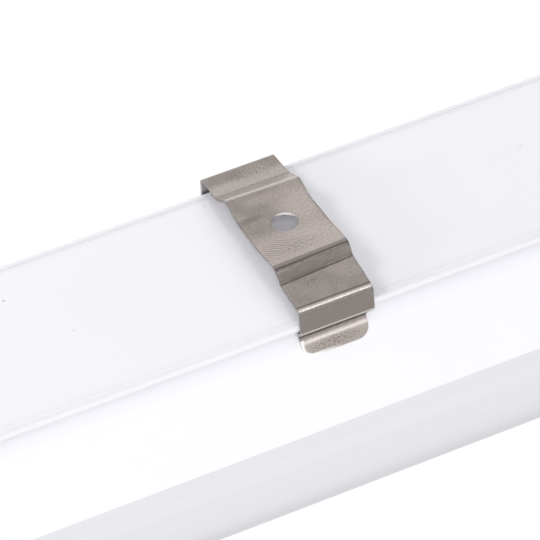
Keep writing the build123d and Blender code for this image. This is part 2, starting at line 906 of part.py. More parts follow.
# Earth point: ring tag with a crimped barrel, held by its own screw
def make_earth_tag():
    with BuildPart() as tag:
        with BuildSketch(Plane.XY.offset(tray_top)) as ring:
            with Locations(earth_place):
                Circle(earth_tag_radius)
            with Locations((earth_x + earth_tag_radius, earth_y)):
                Rectangle(2 * earth_tag_radius, earth_barrel_radius)
            with Locations(earth_place):
                Circle(small_screw_shank + running_gap, mode=Mode.SUBTRACT)
        extrude(amount=earth_tag_thickness)
        with BuildSketch(Plane.YZ.offset(earth_barrel_end)) as barrel:
            with Locations((earth_y, tray_top + earth_barrel_radius)):
                Circle(earth_barrel_radius)
        extrude(amount=-earth_barrel_length)
        with BuildSketch(Plane.YZ.offset(earth_barrel_end)) as mouth:
            with Locations((earth_y, tray_top + earth_barrel_radius)):
                Circle(wire_radius + wire_fit)
        extrude(amount=-earth_wire_insert, mode=Mode.SUBTRACT)
    return tag


# Cable gland on the right end cap: body, dome nut, seal and locknut
def make_gland_body():
    inner_length = cap_end_wall + locknut_length + gland_thread_end
    with BuildPart() as body:
        with BuildSketch(Plane.YZ.offset(cap_face)) as flange:
            with Locations((0, entry_height)):
                RegularPolygon(gland_flange_flats / 2, 6, major_radius=False)
        extrude(amount=gland_flange_length)
        chamfer(body.edges().group_by(Axis.X)[-1], length=gland_flange_chamfer)
        with BuildSketch(Plane.YZ.offset(cap_face)) as spigot:
            with Locations((0, entry_height)):
                Circle(gland_thread)
        extrude(amount=-inner_length)
        with BuildSketch(Plane.YZ.offset(cap_face)) as sleeve:
            with Locations((0, entry_height)):
                Circle(gland_thread)
        extrude(amount=gland_flange_length + gland_sleeve_length)
        with BuildSketch(Plane.YZ.offset(cap_face - inner_length - overrun)) as bore:
            with Locations((0, entry_height)):
                Circle(gland_bore)
        body_length = inner_length + gland_flange_length + gland_sleeve_length
        extrude(amount=body_length + 2 * overrun, mode=Mode.SUBTRACT)
        with BuildSketch(Plane.YZ.offset(gland_seal_start)) as seal_room:
            with Locations((0, entry_height)):
                Circle(gland_seal_outer + gland_seal_fit)
        extrude(amount=gland_seal_length + overrun, mode=Mode.SUBTRACT)
    return body


def make_gland_seal():
    with BuildPart() as seal:
        with BuildSketch(Plane.YZ.offset(gland_seal_start)) as ring:
            with Locations((0, entry_height)):
                Circle(gland_seal_outer)
                Circle(gland_seal_bore, mode=Mode.SUBTRACT)
        extrude(amount=gland_seal_length)
    return seal


def make_gland_nut():
    start = cap_face + gland_flange_length + gland_nut_gap
    end = start + gland_nut_length
    with BuildPart() as nut:
        with BuildSketch(Plane.XZ) as half:
            with BuildLine():
                FilletPolyline(
                    (start, entry_height),
                    (start, entry_height + gland_nut_radius),
                    (end, entry_height + gland_nut_radius),
                    (end, entry_height),
                    radius=[gland_flute_depth, gland_nut_round],
                )
                Line((end, entry_height), (start, entry_height))
            make_face()
        revolve(axis=Axis((0, 0, entry_height), (1, 0, 0)))
        with BuildSketch(Plane.YZ.offset(start - overrun)) as thread_room:
            with Locations((0, entry_height)):
                Circle(gland_thread + gland_fit)
        extrude(amount=gland_nut_length - gland_nut_wall + overrun, mode=Mode.SUBTRACT)
        with BuildSketch(Plane.YZ.offset(end + overrun)) as mouth:
            with Locations((0, entry_height)):
                Circle(gland_mouth)
        extrude(amount=-(gland_nut_wall + 2 * overrun), mode=Mode.SUBTRACT)
        with BuildSketch(Plane.YZ.offset(start - overrun)) as flutes:
            with Locations((0, entry_height)):
                flute_ring = gland_nut_radius + gland_flute_radius - gland_flute_depth
                with PolarLocations(flute_ring, gland_flute_count):
                    Circle(gland_flute_radius)
        extrude(amount=gland_flute_length + overrun, mode=Mode.SUBTRACT)
    return nut


def make_locknut(side):
    with BuildPart() as nut:
        with BuildSketch(Plane.YZ.offset(side * cap_floor)) as hexagon:
            with Locations((0, entry_height)):
                RegularPolygon(locknut_flats / 2, 6, major_radius=False)
                Circle(gland_thread + gland_fit, mode=Mode.SUBTRACT)
        extrude(amount=-side * locknut_length)
    return nut


# Blanking plug on the left end cap: slotted head, washer and locknut
def make_blanking_washer():
    with BuildPart() as washer:
        with BuildSketch(Plane.YZ.offset(-cap_face)) as ring:
            with Locations((0, entry_height)):
                Circle(washer_radius)
                Circle(gland_thread + gland_fit, mode=Mode.SUBTRACT)
        extrude(amount=-washer_thickness)
    return washer


def make_blanking_plug():
    seat = cap_face + washer_thickness
    spigot_end = -cap_face + cap_end_wall + locknut_length + gland_thread_end
    with BuildPart() as plug:
        with BuildSketch(Plane.YZ.offset(-seat)) as head:
            with Locations((0, entry_height)):
                Circle(plug_head_radius)
        extrude(amount=-plug_head_length)
        fillet(plug.edges().filter_by(GeomType.CIRCLE).sort_by(Axis.X)[0], radius=plug_head_round)
        with BuildSketch(Plane.YZ.offset(-seat - plug_head_length)) as slot:
            with Locations((0, entry_height)):
                Rectangle(plug_slot_width, 2 * plug_head_radius)
        extrude(amount=plug_slot_depth, mode=Mode.SUBTRACT)
        with BuildSketch(Plane.YZ.offset(-seat)) as spigot:
            with Locations((0, entry_height)):
                Circle(gland_thread)
        extrude(amount=seat + spigot_end)
        with BuildSketch(Plane.YZ.offset(spigot_end)) as core:
            with Locations((0, entry_height)):
                Circle(gland_bore)
        extrude(amount=-(cap_end_wall + locknut_length), mode=Mode.SUBTRACT)
    return plug


clip_left = make_clip(-clip_spacing / 2)
clip_right = make_clip(clip_spacing / 2)
pieces = {
    "housing": make_housing(),
    "diffuser": make_diffuser(),
    "end_cap_left": make_end_cap(-1),
    "end_cap_right": make_end_cap(1),
    "end_gasket_left": make_end_gasket(-1),
    "end_gasket_right": make_end_gasket(1),
    "end_cap_screws": make_end_cap_screws(),
    "clip_left": clip_left,
    "clip_right": clip_right,
    "gear_tray": make_gear_tray(),
    "led_board": make_led_board(),
    "led_chips": make_led_chips(),
    "board_screws": make_small_screws(board_screw_places, board_under, -1, board_thickness + tray_thickness),
    "board_connector": make_board_connector(),
    "driver_case": make_driver_case(),
    "driver_lid": make_driver_lid(),
    "driver_board": make_driver_board(),
    "driver_transformer": make_driver_transformer(),
    "driver_capacitors": make_driver_capacitors(),
    "driver_choke": make_driver_choke(),
    "driver_transistors": make_driver_transistors(),
    "driver_screws": make_small_screws(driver_screw_places, ear_top, 1, driver_ear_thickness + tray_thickness),
    "terminal_block": make_terminal_block(),
    "terminal_clamps": make_terminal_clamps(),
    "live_button": make_button(pole_places[0]),
    "neutral_button": make_button(pole_places[1]),
    "earth_button": make_button(pole_places[2]),
    "live_wire": make_wires([live_route], wire_radius),
    "neutral_wire": make_wires([neutral_route], wire_radius),
    "earth_wire": make_wires([earth_route], wire_radius),
    "lamp_wires": make_wires(lamp_routes, lamp_wire_radius),
    "earth_tag": make_earth_tag(),
    "earth_screw": make_small_screws([earth_place], tag_top, 1, earth_tag_thickness + tray_thickness),
    "gland_body": make_gland_body(),
    "gland_seal": make_gland_seal(),
    "gland_nut": make_gland_nut(),
    "gland_locknut": make_locknut(1),
    "blanking_plug": make_blanking_plug(),
    "blanking_washer": make_blanking_washer(),
    "blanking_locknut": make_locknut(-1),
}
for name, piece in pieces.items():
    piece.part.label = name
    export_step(piece.part, f"parts/{name}.step")
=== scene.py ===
# Slim LED batten light, back up, with its two spring clips, as photographed from above
import json
import math

import bmesh
import bpy
import numpy as np
from mathutils import Matrix, Vector


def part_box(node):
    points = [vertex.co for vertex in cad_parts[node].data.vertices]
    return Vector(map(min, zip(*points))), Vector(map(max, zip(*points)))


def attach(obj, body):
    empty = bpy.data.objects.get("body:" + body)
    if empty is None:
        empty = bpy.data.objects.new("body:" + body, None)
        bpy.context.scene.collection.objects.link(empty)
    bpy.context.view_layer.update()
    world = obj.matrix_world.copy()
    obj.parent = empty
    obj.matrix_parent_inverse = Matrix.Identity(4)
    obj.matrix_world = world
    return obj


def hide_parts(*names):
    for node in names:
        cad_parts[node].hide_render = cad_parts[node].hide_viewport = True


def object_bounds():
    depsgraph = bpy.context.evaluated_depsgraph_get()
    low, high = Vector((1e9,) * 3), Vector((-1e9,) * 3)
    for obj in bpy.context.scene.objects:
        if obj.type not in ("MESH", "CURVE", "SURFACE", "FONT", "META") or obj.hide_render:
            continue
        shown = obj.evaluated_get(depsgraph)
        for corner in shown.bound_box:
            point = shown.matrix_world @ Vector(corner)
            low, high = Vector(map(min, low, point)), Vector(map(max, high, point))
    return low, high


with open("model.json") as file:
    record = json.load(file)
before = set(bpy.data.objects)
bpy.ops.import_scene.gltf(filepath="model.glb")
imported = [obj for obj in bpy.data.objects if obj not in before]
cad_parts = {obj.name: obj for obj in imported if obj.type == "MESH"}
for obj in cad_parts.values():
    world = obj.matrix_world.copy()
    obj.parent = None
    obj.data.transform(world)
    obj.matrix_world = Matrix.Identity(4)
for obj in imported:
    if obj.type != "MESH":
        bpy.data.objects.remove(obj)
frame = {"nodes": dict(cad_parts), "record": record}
cadBox = [list(corner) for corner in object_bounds()]
mm = 0.001
print("frame loaded:", len(frame["nodes"]), "CAD nodes")

# camera: where the photographer stood, turned a little about the line of sight; degrees and millimetres
cameraSet = {
    "azimuth": -23.37,
    "elevation": 42.64,
    "roll": 3.69,
    "lens": 286.63,
    "sensor": 36.0,
    "distance": 795.9,
    "slide": (-2.81, -7.41),  # to the right and up, seen in the picture
    "lookedAt": (-200.0, 0.0, -1.95),
    "nearest": 10.0,
    "farthest": 20000.0,
}


def placeCamera(values):
    # back = (sin a cos e, -cos a cos e, sin e); right and up are turned by the roll
    a, e, r = (math.radians(values[k]) for k in ("azimuth", "elevation", "roll"))
    back = Vector((math.sin(a) * math.cos(e), -math.cos(a) * math.cos(e), math.sin(e)))
    right = Vector((math.cos(a), math.sin(a), 0))
    up = back.cross(right)
    turnedRight = right * math.cos(r) - up * math.sin(r)
    turnedUp = right * math.sin(r) + up * math.cos(r)
    data = bpy.data.cameras.new("photoCamera")
    data.lens = values["lens"]
    data.sensor_width = values["sensor"]
    data.clip_start, data.clip_end = values["nearest"] * mm, values["farthest"] * mm
    camera = bpy.data.objects.new("photoCamera", data)
    bpy.context.scene.collection.objects.link(camera)
    slide = turnedRight * values["slide"][0] + turnedUp * values["slide"][1]
    place = Vector(values["lookedAt"]) + slide + back * values["distance"]
    axes = Matrix((turnedRight, turnedUp, back)).transposed().to_4x4()
    camera.matrix_world = Matrix.Translation(place * mm) @ axes
    bpy.context.scene.camera = camera


placeCamera(cameraSet)
print("camera placed")


# small helpers for the materials' node trees
def newMaterial(name):
    material = bpy.data.materials.new(name)
    material.use_nodes = True
    return material, material.node_tree, material.node_tree.nodes["Principled BSDF"]


def addNode(tree, kind, **settings):
    node = tree.nodes.new(kind)
    for key, value in settings.items():
        setattr(node, key, value)
    return node


def noiseOf(tree, source, scale, stretch=(1, 1, 1), detail=4, roughness=0.55):
    mapping = addNode(tree, "ShaderNodeMapping")
    mapping.inputs["Scale"].default_value = stretch
    noise = addNode(tree, "ShaderNodeTexNoise")
    noise.inputs["Scale"].default_value = scale
    noise.inputs["Detail"].default_value = detail
    noise.inputs["Roughness"].default_value = roughness
    tree.links.new(source, mapping.inputs["Vector"])
    tree.links.new(mapping.outputs[0], noise.inputs["Vector"])
    return noise.outputs["Fac"]


def stretched(tree, value, ends, out=(0.0, 1.0)):
    # runs from out[0] to out[1] while value runs between the two ends, and stays there outside them
    ramp = addNode(tree, "ShaderNodeMapRange", clamp=True)
    for key, number in zip(("From Min", "From Max", "To Min", "To Max"), (*ends, *out)):
        ramp.inputs[key].default_value = number
    tree.links.new(value, ramp.inputs["Value"])
    return ramp.outputs[0]


def mixedColour(tree, factor, first, second):
    # first * (1 - factor) + second * factor; a colour is a tuple or a socket
    mix = addNode(tree, "ShaderNodeMix", data_type="RGBA")
    tree.links.new(factor, mix.inputs["Factor"])
    for key, colour in (("A", first), ("B", second)):
        if isinstance(colour, tuple):
            mix.inputs[key].default_value = (*colour, 1)
        else:
            tree.links.new(colour, mix.inputs[key])
    return mix.outputs["Result"]


def joined(tree, first, second, operation):
    # one operation on two numbers or sockets; None leaves the second out
    node = addNode(tree, "ShaderNodeMath", operation=operation)
    for index, value in enumerate((first, second)):
        if isinstance(value, (int, float)):
            node.inputs[index].default_value = value
        elif value is not None:
            tree.links.new(value, node.inputs[index])
    return node.outputs[0]


def splitOf(tree, vector):
    split = addNode(tree, "ShaderNodeSeparateXYZ")
    tree.links.new(vector, split.inputs[0])
    return split.outputs


def lengthOf(tree, vector):
    length = addNode(tree, "ShaderNodeVectorMath", operation="LENGTH")
    tree.links.new(vector, length.inputs[0])
    return length.outputs["Value"]


def bumped(tree, height, strength, distance):
    bump = addNode(tree, "ShaderNodeBump")
    bump.inputs["Strength"].default_value = strength
    bump.inputs["Distance"].default_value = distance
    tree.links.new(height, bump.inputs["Height"])
    return bump.outputs[0]


# studio: a white tent with a darker side behind the camera, soft boxes and a pale floor; metres
studioSet = {
    "skyStrength": 0.56,
    "backColour": (1.0, 1.0, 1.0),
    "frontColour": (0.7, 0.7, 0.71),
    "frontToBack": (-0.6, 0.3),  # the sky's directions between which the front turns into the back
    "rightShade": (0.25, 0.25, 0.25),
    "rightFade": (0.4, 0.8),  # and those between which the right side goes dark
    "floorDrop": 0.42,
    "floorSize": 9.0,
    "floorColour": (0.05, 0.05, 0.05),
    "floorRough": 0.9,
    "floorGlow": (1.0, 1.0, 1.0),
    "floorFrontGlow": (0.72, 0.72, 0.72),
    "floorFade": (-0.6, 0.1),  # from front to back
    "aim": (-0.2, 0.0, 0.0),  # the near clip
    "boxes": {  # place, size, power, and whether the box shows in the metal
        "key": ((-1.35, 0.25, 1.27), (0.45, 0.45), 7.2, True),
        "overhead": ((0.1, -0.36, 0.94), (0.5, 0.3), 0.75, True),
        "highFront": ((-0.5, -0.8, 0.85), (0.3, 0.3), 2.8, False),
        "highBack": ((-0.2, 0.5, 0.95), (0.2, 0.5), 2.0, False),
        "lowLeft": ((-1.9, 0.1, 0.5), (0.3, 0.3), 4.7, False),
        "lowFront": ((0.1, -1.5, 0.3), (1.6, 0.8), 4.0, True),
        "frontFill": ((-0.5, -1.5, 0.1), (1.2, 0.8), 7.8, False),
    },
}


def makeTent(values):
    world = bpy.data.worlds.new("studioTent")
    world.use_nodes = True
    bpy.context.scene.world = world
    tree = world.node_tree
    tree.nodes.clear()
    background = addNode(tree, "ShaderNodeBackground")
    output = addNode(tree, "ShaderNodeOutputWorld")
    direction = splitOf(tree, addNode(tree, "ShaderNodeTexCoord").outputs["Generated"])
    towardsBack = stretched(tree, direction["Y"], values["frontToBack"])
    sky = mixedColour(tree, towardsBack, values["frontColour"], values["backColour"])
    towardsRight = stretched(tree, direction["X"], values["rightFade"])
    tree.links.new(mixedColour(tree, towardsRight, sky, values["rightShade"]), background.inputs["Color"])
    background.inputs["Strength"].default_value = values["skyStrength"]
    tree.links.new(background.outputs[0], output.inputs["Surface"])


def hangSoftboxes(values):
    # each box is turned so that its front looks at the aim
    for name, (place, size, power, inMetal) in values["boxes"].items():
        light = bpy.data.lights.new(name + "Softbox", "AREA")
        light.shape = "RECTANGLE"
        light.size, light.size_y = size
        light.energy = power
        lamp = bpy.data.objects.new(name + "Softbox", light)
        bpy.context.scene.collection.objects.link(lamp)
        way = Vector(values["aim"]) - Vector(place)
        turn = way.to_track_quat("-Z", "Y").to_matrix().to_4x4()
        lamp.matrix_world = Matrix.Translation(place) @ turn
        lamp.visible_glossy = inMetal


def layFloor(values):
    # one square below the batten, its glow a little weaker towards the camera
    half = values["floorSize"] / 2
    level = cadBox[0][2] - values["floorDrop"]
    corners = [(-half, -half, level), (half, -half, level), (half, half, level), (-half, half, level)]
    mesh = bpy.data.meshes.new("studioFloor")
    mesh.from_pydata(corners, [], [(0, 1, 2, 3)])
    floor = bpy.data.objects.new("studioFloor", mesh)
    bpy.context.scene.collection.objects.link(floor)
    paper, tree, shader = newMaterial("whitePaper")
    shader.inputs["Base Color"].default_value = (*values["floorColour"], 1)
    shader.inputs["Roughness"].default_value = values["floorRough"]
    shader.inputs["Emission Strength"].default_value = 1.0
    place = splitOf(tree, addNode(tree, "ShaderNodeTexCoord").outputs["Object"])
    fade = stretched(tree, place["Y"], values["floorFade"])
    glow = mixedColour(tree, fade, values["floorFrontGlow"], values["floorGlow"])
    tree.links.new(glow, shader.inputs["Emission Color"])
    mesh.materials.append(paper)


makeTent(studioSet)
hangSoftboxes(studioSet)
layFloor(studioSet)
bpy.context.scene.view_settings.view_transform = "Standard"
bpy.context.scene.view_settings.look = "None"
print("studio lit")

# finishes, one for each material slot of the record; scales are per metre, heights and places across in mm
plainFinish = {
    "driftScale": 40, "roughScale": 120, "rough": (0.35, 0.5),
    "grainScale": 900, "relief": 0.12, "reliefDepth": 0.0002,
}
finishSet = {
    "white_enamel": {
        "dark": (0.865, 0.862, 0.905), "light": (0.895, 0.89, 0.935), "driftScale": 9,
        "roughScale": 60, "rough": (0.3, 0.42), "grainScale": 1400, "relief": 0.05, "reliefDepth": 0.0001,
        "coat": 0.15, "coatRough": 0.15,
        "speck": (0.62, 0.61, 0.64), "speckScale": 300, "speckEnds": (0.757, 0.787),
        # painted shade under each lip and in the groove: the enamel darker at these heights
        "heights": [
            (-12.5, 1.0), (-11.1, 0.985), (-10.7, 0.975), (-10.3, 0.96), (-9.9, 0.94), (-9.5, 0.905),
            (-9.1, 0.868), (-8.3, 0.857), (-7.65, 0.838), (-7.4, 0.843), (-7.15, 0.86), (-6.9, 0.91),
            (-6.65, 0.955), (-6.2, 1.0),
        ],
        # painted shade on the back along the inner edges of the lips
        "across": [
            (-20.9, 1.0), (-20.75, 0.97), (-20.6, 0.9), (-20.4, 0.86), (-20.15, 0.9), (-19.95, 0.95),
            (-19.7, 0.985), (-19.3, 1.0), (17.5, 1.0), (18.5, 0.985), (18.85, 0.93), (19.05, 0.84),
            (19.3, 0.84), (19.5, 0.88), (19.7, 0.94), (19.9, 1.0),
        ],
        "backFrom": (-6.6, -6.3),  # heights between which the back, with its painted shade, starts
    },
    "opal_diffuser": {
        "dark": (0.702, 0.7, 0.736), "light": (0.734, 0.732, 0.768), "driftScale": 700,
        "stretch": (0.003, 1, 1),  # lengthwise lines
        "roughScale": 700, "rough": (0.36, 0.46), "grainScale": 1800, "relief": 0.05, "reliefDepth": 0.0001,
        # painted shade: the milky wall darker towards its lower corner
        "heights": [
            (-54.5, 0.9), (-50.0, 0.8), (-48.0, 0.8), (-46.5, 0.86), (-45.5, 0.92), (-44.0, 0.955),
            (-40.0, 0.98), (-34.0, 1.0), (-29.0, 1.0),
        ],
    },
    "white_moulding": {
        "dark": (0.83, 0.83, 0.85), "light": (0.88, 0.88, 0.9), "driftScale": 25,
        "roughScale": 200, "rough": (0.42, 0.6), "grainScale": 2400, "relief": 0.2, "reliefDepth": 0.0001,
    },
    "gasket_foam": {
        "dark": (0.09, 0.092, 0.1), "light": (0.14, 0.143, 0.15), "driftScale": 300,
        "roughScale": 800, "rough": (0.75, 0.95), "grainScale": 2600, "relief": 0.5, "reliefDepth": 0.0003,
    },
    "zinc_screws": {
        "dark": (0.46, 0.47, 0.5), "light": (0.62, 0.62, 0.63), "driftScale": 700, "metallic": 1.0,
        "roughScale": 1500, "rough": (0.25, 0.45), "grainScale": 3000, "relief": 0.12, "reliefDepth": 0.0001,
    },
    "spring_steel": {  # the clips' underside
        "dark": (0.5, 0.475, 0.475), "light": (0.6, 0.572, 0.572), "driftScale": 260, "metallic": 1.0,
        "roughScale": 900, "rough": (0.28, 0.42), "grainScale": 5000, "relief": 0.12, "reliefDepth": 0.0001,
    },
    "tray_enamel": {
        "dark": (0.78, 0.78, 0.78), "light": (0.84, 0.84, 0.84), "driftScale": 20,
        "roughScale": 90, "rough": (0.35, 0.5), "grainScale": 1500, "relief": 0.06, "reliefDepth": 0.0001,
    },
    "gland_plastic": {
        "dark": (0.62, 0.62, 0.64), "light": (0.68, 0.68, 0.7), "driftScale": 80,
        "roughScale": 300, "rough": (0.38, 0.52), "grainScale": 2200, "relief": 0.2, "reliefDepth": 0.0001,
    },
    "seal_rubber": {
        **plainFinish, "dark": (0.012, 0.012, 0.013), "light": (0.025, 0.025, 0.027), "rough": (0.55, 0.75),
    },
    "lamp_board_white": {**plainFinish, "dark": (0.82, 0.82, 0.78), "light": (0.88, 0.88, 0.85)},
    "phosphor": {**plainFinish, "dark": (0.78, 0.62, 0.12), "light": (0.9, 0.76, 0.22), "driftScale": 900},
    "connector_white": {**plainFinish, "dark": (0.8, 0.78, 0.72), "light": (0.86, 0.84, 0.79)},
    "driver_plastic": {**plainFinish, "dark": (0.72, 0.72, 0.7), "light": (0.78, 0.78, 0.76), "relief": 0.25},
    "circuit_board": {
        **plainFinish, "dark": (0.02, 0.12, 0.045), "light": (0.035, 0.18, 0.07), "driftScale": 500,
    },
    "transformer_tape": {
        **plainFinish, "dark": (0.7, 0.45, 0.04), "light": (0.82, 0.56, 0.08), "driftScale": 300,
    },
    "capacitor_sleeve": {
        **plainFinish, "dark": (0.01, 0.01, 0.016), "light": (0.03, 0.03, 0.045), "rough": (0.2, 0.3),
    },
    "ferrite": {**plainFinish, "dark": (0.02, 0.05, 0.03), "light": (0.04, 0.09, 0.06), "relief": 0.3},
    "black_epoxy": {**plainFinish, "dark": (0.012, 0.012, 0.012), "light": (0.03, 0.03, 0.03), "relief": 0.2},
    "terminal_plastic": {**plainFinish, "dark": (0.78, 0.78, 0.74), "light": (0.84, 0.84, 0.8)},
    "clamp_steel": {**plainFinish, "dark": (0.45, 0.43, 0.4), "light": (0.58, 0.56, 0.53), "metallic": 1.0},
    "live_insulation": {
        **plainFinish, "dark": (0.1, 0.035, 0.012), "light": (0.16, 0.06, 0.022), "rough": (0.3, 0.4),
    },
    "neutral_insulation": {
        **plainFinish, "dark": (0.01, 0.06, 0.3), "light": (0.02, 0.1, 0.42), "rough": (0.3, 0.4),
    },
    "lamp_insulation": {**plainFinish, "dark": (0.72, 0.72, 0.72), "light": (0.82, 0.82, 0.82)},
    "tinned_brass": {**plainFinish, "dark": (0.55, 0.5, 0.36), "light": (0.66, 0.62, 0.5), "metallic": 1.0},
    "live_button_plastic": {**plainFinish, "dark": (0.13, 0.05, 0.02), "light": (0.18, 0.075, 0.03)},
    "neutral_button_plastic": {**plainFinish, "dark": (0.015, 0.07, 0.32), "light": (0.025, 0.11, 0.42)},
    "earth_button_plastic": {**plainFinish, "dark": (0.02, 0.2, 0.04), "light": (0.035, 0.28, 0.07)},
}
earthSet = {
    **plainFinish, "dark": (0.05, 0.3, 0.03), "light": (0.08, 0.38, 0.05),
    "stripe": (0.75, 0.6, 0.03), "stripeScale": 120, "stripeWander": 0.6, "stripeEnds": (0.6, 0.68),
}
noiseSpread = (0.3, 0.7)  # the values of a noise between which a finish changes


def tonedAlong(tree, colour, place, stops, share=None):
    # colour * grey, where grey runs between the stops (place in mm, grey); share says how much of it counts
    low, high = stops[0][0], stops[-1][0]
    ramp = addNode(tree, "ShaderNodeValToRGB")
    elements = ramp.color_ramp.elements
    elements[0].color = (*(stops[0][1],) * 3, 1)
    elements[1].color = (*(stops[-1][1],) * 3, 1)
    for spot, grey in stops[1:-1]:
        elements.new((spot - low) / (high - low)).color = (grey, grey, grey, 1)
    tree.links.new(stretched(tree, place, (low * mm, high * mm)), ramp.inputs[0])
    tone = addNode(tree, "ShaderNodeMix", data_type="RGBA", blend_type="MULTIPLY")
    tone.inputs["Factor"].default_value = 1
    if share is not None:
        tree.links.new(share, tone.inputs["Factor"])
    tree.links.new(colour, tone.inputs["A"])
    tree.links.new(ramp.outputs["Color"], tone.inputs["B"])
    return tone.outputs["Result"]


def makeFinish(name, values):
    # colour = mix(dark, light, drift noise), then specks and tones; roughness and relief = two more noises
    material, tree, shader = newMaterial(name)
    coordinates = addNode(tree, "ShaderNodeTexCoord").outputs["Object"]
    stretch = values.get("stretch", (1, 1, 1))
    drift = stretched(tree, noiseOf(tree, coordinates, values["driftScale"], stretch), noiseSpread)
    colour = mixedColour(tree, drift, values["dark"], values["light"])
    if "speck" in values:
        specks = noiseOf(tree, coordinates, values["speckScale"], detail=2)
        colour = mixedColour(tree, stretched(tree, specks, values["speckEnds"]), colour, values["speck"])
    if "heights" in values:
        place = splitOf(tree, coordinates)
        # painted shade: darker at the listed heights, under the enamel's lips and towards the diffuser's
        # lower corner
        colour = tonedAlong(tree, colour, place["Z"], values["heights"])
        if "across" in values:
            onBack = stretched(tree, place["Z"], [height * mm for height in values["backFrom"]])
            # painted shade along the inner edges of the lips
            colour = tonedAlong(tree, colour, place["Y"], values["across"], onBack)
    tree.links.new(colour, shader.inputs["Base Color"])
    wear = noiseOf(tree, coordinates, values["roughScale"], stretch, detail=6)
    tree.links.new(stretched(tree, wear, noiseSpread, values["rough"]), shader.inputs["Roughness"])
    grain = noiseOf(tree, coordinates, values["grainScale"], stretch, detail=3)
    tree.links.new(bumped(tree, grain, values["relief"], values["reliefDepth"]), shader.inputs["Normal"])
    shader.inputs["Metallic"].default_value = values.get("metallic", 0.0)
    if "coat" in values:
        shader.inputs["Coat Weight"].default_value = values["coat"]
        shader.inputs["Coat Roughness"].default_value = values["coatRough"]
    return material


def makeEarthFinish(name, values):
    # the plain finish in green, and yellow where a diagonal wave is above its threshold
    material = makeFinish(name, values)
    tree = material.node_tree
    base = tree.nodes["Principled BSDF"].inputs["Base Color"]
    wave = addNode(tree, "ShaderNodeTexWave", wave_type="BANDS", bands_direction="DIAGONAL")
    wave.inputs["Scale"].default_value = values["stripeScale"]
    wave.inputs["Distortion"].default_value = values["stripeWander"]
    tree.links.new(addNode(tree, "ShaderNodeTexCoord").outputs["Object"], wave.inputs["Vector"])
    stripes = stretched(tree, wave.outputs["Fac"], values["stripeEnds"])
    tree.links.new(mixedColour(tree, stripes, base.links[0].from_socket, values["stripe"]), base)
    return material


finishes = {name: makeFinish(name + "Finish", values) for name, values in finishSet.items()}
finishes["earth_insulation"] = makeEarthFinish("earth_insulationFinish", earthSet)
print("finishes mixed:", len(finishes))

# spring clips: a strip of stainless sheet, bent across the batten, with a screw hole and a tab at either end.
# A place on it is x, across from its middle, and s, along it from the hole, negative towards the near tab.
clipSet = {
    "width": 15.0, "sheet": 0.45, "holeRadius": 2.6,
    "bends": [  # y, z and bend radius of the outer face, from the near tab to the far one
        (-21.75, -13.45, 0), (-20.75, -10.5, 1.5), (-19.87, -9.075, 0.6), (-21.57, -7.775, 1.05),
        (-21.27, -2.25, 1.1), (-13.1, -1.45, 0.35), (-11.2, 0.58, 1.4), (-4.0, 0.0, 30.0), (6.0, 0.0, 20.0),
        (10.0, 0.56, 1.2), (13.6, -1.45, 6.0), (21.27, -2.25, 1.5), (21.57, -7.775, 1.05),
        (19.87, -9.075, 0.6), (20.75, -10.5, 1.5), (21.75, -13.45, 0),
    ],
    "tabEdges": (-7.25, 6.25), "tabCorner": 2.2, "tabLength": 4.7, "tabShoulder": 0.35,
    "skewAt": (-19.0, -14.0, -11.0, -6.0, 6.0, 10.0, 14.0),  # s
    "skew": (0.0, 0.55, 0.3, 0.0, 0.0, -0.2, 0.0),  # how far a bend there lies askew at the right edge
    # how far the strip's left and right edges bulge out, at these s
    "edgeAt": (
        -20.0, -17.5, -13.0, -10.0, -8.6, -7.0, -4.0, 0.0, 3.5, 5.5, 7.5, 9.0, 10.5, 12.0, 13.8, 16.0, 19.0,
    ),
    "leftBulge": (0, 0.08, 0, 0, -0.12, 0.14, 0.24, 0.26, 0.28, 0.26, 0, -0.04, -0.1, 0.1, 0.4, 0.22, 0),
    "rightBulge": (0, 0.12, 0.2, 0.28, 0.28, 0.27, 0.08, 0, -0.16, -0.04, 0.1, 0.18, 0.08, 0, 0, 0, 0),
    "dents": [  # x, s, their reaches, and the height of each small dent
        (-7.4, 4.6, 2.2, 0.7, 0.07), (-6.2, 3.3, 2.6, 0.8, -0.10), (-7.8, 7.4, 1.6, 0.6, -0.05),
        (-3.0, -4.4, 3.0, 1.0, 0.03), (4.5, 4.0, 4.0, 3.0, -0.03),
    ],
    "darkEdge": (-24.0, 23.0),  # s between which the sheared edges are dull
    "edgeReach": 0.01,  # how near the edge a point counts as on it
    "highlightReach": 0.6, "highlightFade": 0.2,  # how far in from the near tab's rim the painted highlight lies
    "highlightFrom": 1.0, "highlightSide": 6.0,  # x where the painted highlight starts, and how far left of it it is full
    "highlightTop": 1.0,  # how far below the top of the tab it ends
    # the grid: rows along, columns across, and rings in a square patch round the hole
    "arcSteps": 9, "cornerSteps": 9, "step": 0.4, "leastStep": 0.015, "columns": 40,
    "patch": 5.0, "patchSteps": 27, "rings": 9, "ringPower": 1.5, "mergeReach": 0.002,
    "edgeRound": 0.07, "edgeSegments": 2, "edgeAngle": 55,
}


def bentPath(bends, steps):
    # straight runs joined by arcs: start of arc + radius * (sin a * way in + (1 - cos a) * way to its centre)
    table = np.array(bends, float)
    corner, radius = table[1:-1, :2], table[1:-1, 2:]
    wayIn, wayOut = corner - table[:-2, :2], table[2:, :2] - corner
    wayIn /= np.linalg.norm(wayIn, axis=1, keepdims=True)
    wayOut /= np.linalg.norm(wayOut, axis=1, keepdims=True)
    cosine = np.sum(wayIn * wayOut, axis=1, keepdims=True)
    turn = np.arccos(cosine)
    toCentre = (wayOut - cosine * wayIn) / np.sin(turn)
    start = corner - wayIn * radius * np.tan(turn / 2)
    angle = (np.linspace(0, 1, steps) * turn)[:, :, None]
    bent = np.sin(angle) * wayIn[:, None] + (1 - np.cos(angle)) * toCentre[:, None]
    arcs = start[:, None] + radius[:, None] * bent
    return np.vstack([table[:1, :2], arcs.reshape(-1, 2), table[-1:, :2]])


